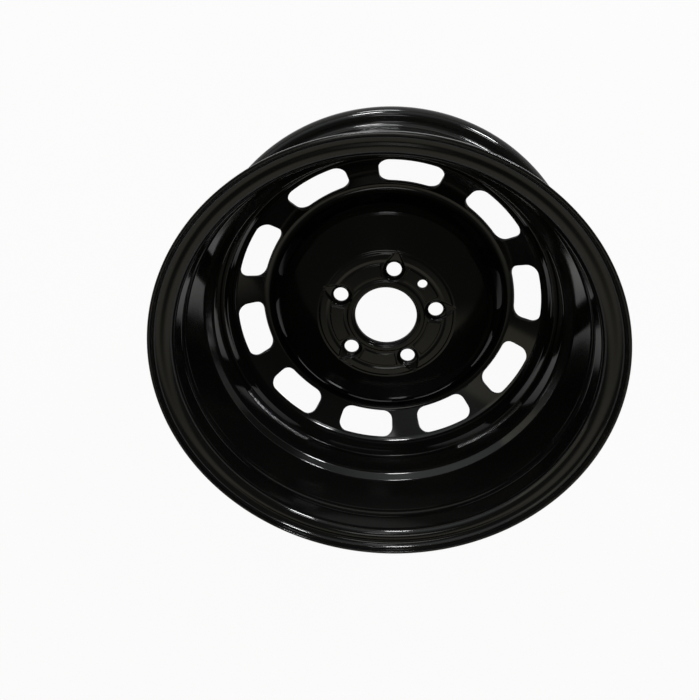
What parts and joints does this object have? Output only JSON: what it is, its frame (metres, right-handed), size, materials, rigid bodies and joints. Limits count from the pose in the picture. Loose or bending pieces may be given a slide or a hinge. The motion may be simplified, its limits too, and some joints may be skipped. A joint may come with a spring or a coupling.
{
  "type": "steel wheel rim",
  "caption": "Pressed steel car wheel without a tyre: rolled drop-centre rim with a welded, dished disc that has rounded vent windows, a hub bore and a bolt circle.",
  "frame": {"origin": "centre of the bolt circle on the face of the disc that meets the hub", "axes": "+Z along the axle towards the car (inboard), so the wheel lies on its outboard lip; +X through one bolt hole, with the valve hole on the -X side"},
  "size_m": [0.4402, 0.44, 0.1784],
  "materials": {
    "black_paint": "gloss",
    "weld_paint": "semi gloss"
  },
  "bodies": {
    "root": {"rim_barrel": "black_paint", "wheel_disc": "black_paint", "weld_beads": "weld_paint"}
  },
  "joints": []
}
